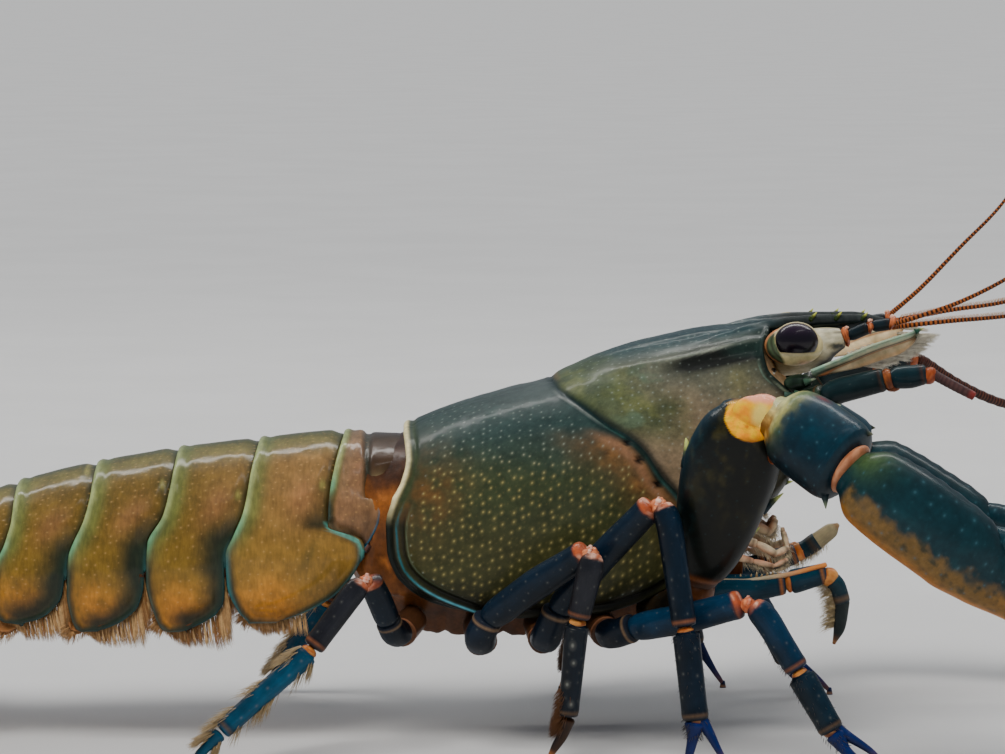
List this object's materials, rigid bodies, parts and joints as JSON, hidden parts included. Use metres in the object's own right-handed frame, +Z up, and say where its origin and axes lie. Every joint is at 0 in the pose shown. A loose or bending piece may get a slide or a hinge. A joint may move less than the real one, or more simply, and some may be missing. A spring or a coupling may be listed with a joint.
{
  "type": "crayfish",
  "caption": "Life-size freshwater crayfish standing with its head up: blue-green shell with pale dots, golden-brown tail, dark blue legs and orange joints",
  "frame": {"origin": "on the floor under the middle of the bounding box", "axes": "+X from tail to head, +Y to the animal's left, +Z up"},
  "size_m": [0.1402, 0.0908, 0.0597],
  "materials": {
    "shell": "satin shell, dark blue-green with pale yellow dots",
    "tail": "satin shell, golden brown with pale green rims",
    "limb": "satin limb shell, navy blue with orange joints",
    "claw": "satin claw shell, teal with pale blue dots and a tan margin",
    "flesh": "soft orange-brown skin",
    "eye": "polished, purple black",
    "stalk": "pale skin with dark marks",
    "feeler": "brown rings"
  },
  "bodies": {
    "root": {"head": "shell", "carapace": "shell", "sternum": "flesh", "abdomen_1": "tail", "abdomen_2": "tail", "abdomen_3": "tail", "abdomen_4": "tail", "abdomen_5": "tail", "abdomen_6": "tail", "telson": "tail", "uropod_inner_right": "tail", "uropod_outer_right": "tail", "eye_right": "eye", "eyestalk_right": "stalk", "antennule_right": "limb", "antenna_base_right": "limb", "antennule_outer_lash_right": "feeler", "antennule_inner_lash_right": "feeler", "antenna_flagellum_right": "feeler", "antennal_scale_right": "claw", "maxilliped_right": "limb", "cheliped_base_right": "claw", "cheliped_merus_right": "claw", "cheliped_carpus_right": "claw", "cheliped_palm_right": "claw", "cheliped_dactyl_right": "claw", "leg_2_right_upper": "limb", "leg_2_right_lower": "limb", "leg_3_right_upper": "limb", "leg_3_right_lower": "limb", "leg_4_right_upper": "limb", "leg_4_right_lower": "limb", "leg_5_right_upper": "limb", "leg_5_right_lower": "limb", "uropod_inner_left": "tail", "uropod_outer_left": "tail", "eye_left": "eye", "eyestalk_left": "stalk", "antennule_left": "limb", "antenna_base_left": "limb", "antennule_outer_lash_left": "feeler", "antennule_inner_lash_left": "feeler", "antenna_flagellum_left": "feeler", "antennal_scale_left": "claw", "maxilliped_left": "limb", "cheliped_base_left": "claw", "cheliped_merus_left": "claw", "cheliped_carpus_left": "claw", "cheliped_palm_left": "claw", "cheliped_dactyl_left": "claw", "leg_2_left_upper": "limb", "leg_2_left_lower": "limb", "leg_3_left_upper": "limb", "leg_3_left_lower": "limb", "leg_4_left_upper": "limb", "leg_4_left_lower": "limb", "leg_5_left_upper": "limb", "leg_5_left_lower": "limb"}
  },
  "joints": []
}
